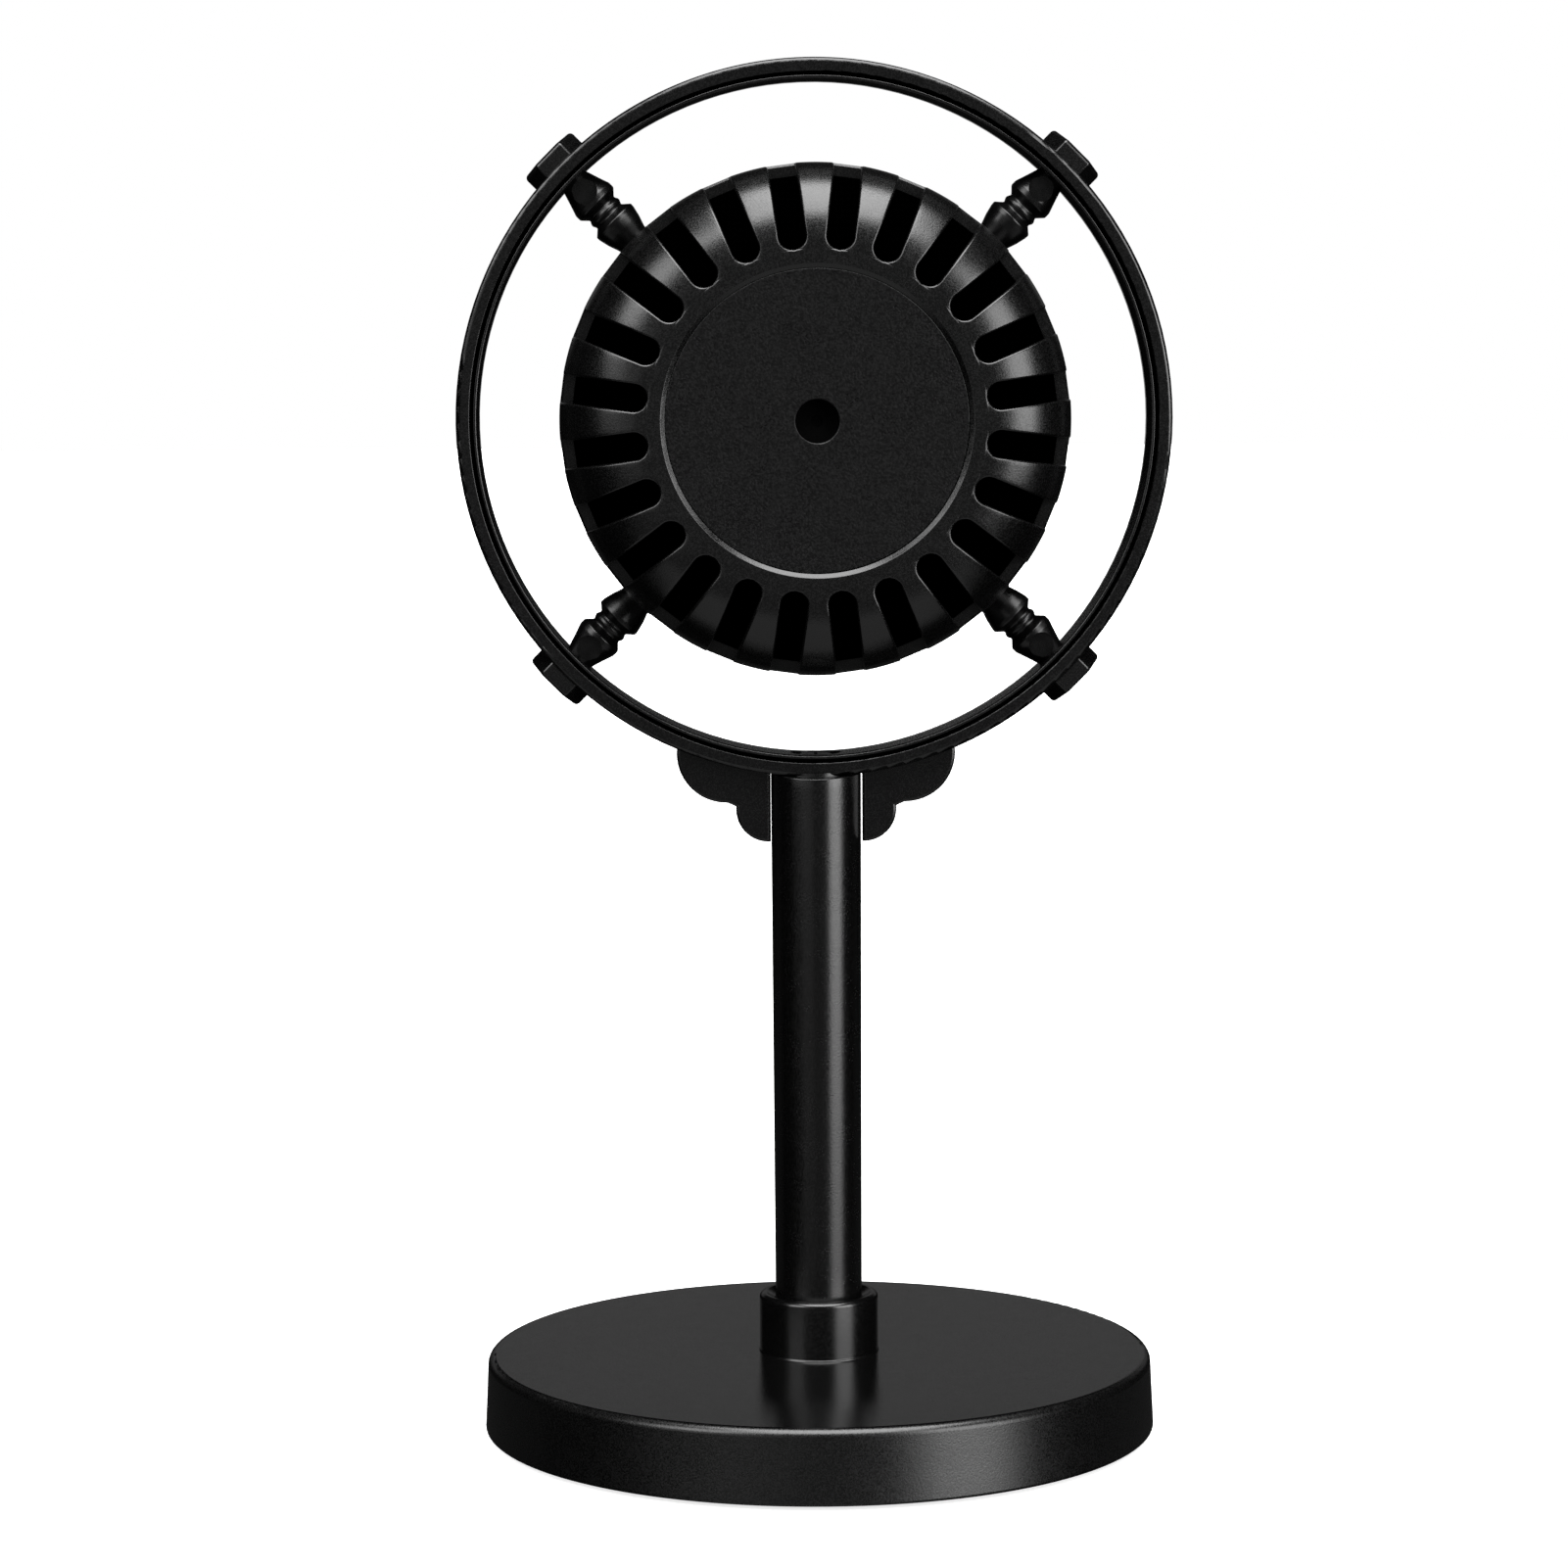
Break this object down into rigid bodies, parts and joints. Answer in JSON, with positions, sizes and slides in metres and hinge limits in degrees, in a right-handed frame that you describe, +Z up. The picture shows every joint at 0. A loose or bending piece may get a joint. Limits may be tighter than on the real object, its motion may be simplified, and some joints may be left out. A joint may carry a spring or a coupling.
{
  "type": "desktop microphone",
  "caption": "Desk microphone with a round slotted head held by turned posts in an open ring, on a slim stem that swivels in the collar of a weighted round base.",
  "frame": {"origin": "centre of the underside of the foot pad, on the axis of the stem", "axes": "+Z up along the stem, the head faces -Y, +X is to the right seen from the front"},
  "size_m": [0.12, 0.1146, 0.2325],
  "materials": {
    "satin_black_plastic": "satin black moulded plastic with a very fine grain",
    "grained_black_plastic": "black moulded plastic with a fine sandblasted grain",
    "gloss_black_post": "glossy black moulded plastic",
    "underside_plastic": "matt black moulded plastic",
    "foot_rubber": "dark matt rubber",
    "grommet_rubber": "black rubber",
    "blackened_steel": "black oxide steel",
    "plated_steel": "zinc-plated steel",
    "ballast_steel": "rolled steel",
    "board_laminate": "green glass-epoxy laminate",
    "socket_plastic": "black moulded socket",
    "lead_jacket": "black lead jacket",
    "acoustic_fabric": "black acoustic cloth",
    "capsule_metal": "drawn aluminium can"
  },
  "bodies": {
    "base": {"base_shell": "satin_black_plastic", "bottom_plate": "underside_plastic", "foot_pad": "foot_rubber", "base_screws": "blackened_steel", "base_ballast": "ballast_steel", "stem_collar": "satin_black_plastic", "collar_nut": "plated_steel", "friction_washer": "grommet_rubber", "base_board": "board_laminate", "board_screws": "blackened_steel", "jack_socket": "socket_plastic", "base_lead": "lead_jacket"},
    "mast": {"stem_tube": "satin_black_plastic", "stop_washer": "blackened_steel", "retaining_clip": "blackened_steel", "ring_front": "satin_black_plastic", "ring_rear": "satin_black_plastic", "stem_screw": "blackened_steel", "ring_nuts": "satin_black_plastic", "post_screws": "blackened_steel", "lead_post_nut": "blackened_steel", "post_upper_left": "gloss_black_post", "post_upper_right": "gloss_black_post", "post_lower_left": "gloss_black_post", "post_lower_right": "gloss_black_post", "front_cover": "satin_black_plastic", "centre_plate": "grained_black_plastic", "acoustic_cloth": "acoustic_fabric", "mic_capsule": "capsule_metal", "capsule_grommet": "grommet_rubber", "capsule_board": "board_laminate", "rear_cover": "satin_black_plastic", "cover_screws": "blackened_steel", "signal_lead": "lead_jacket"}
  },
  "joints": [
    {"name": "stem_swivel", "type": "hinge", "parent": "base", "child": "mast", "pos_m": [0, 0, 0.02], "axis": [0, 0, 1], "range_deg": [-165, 165]}
  ]
}
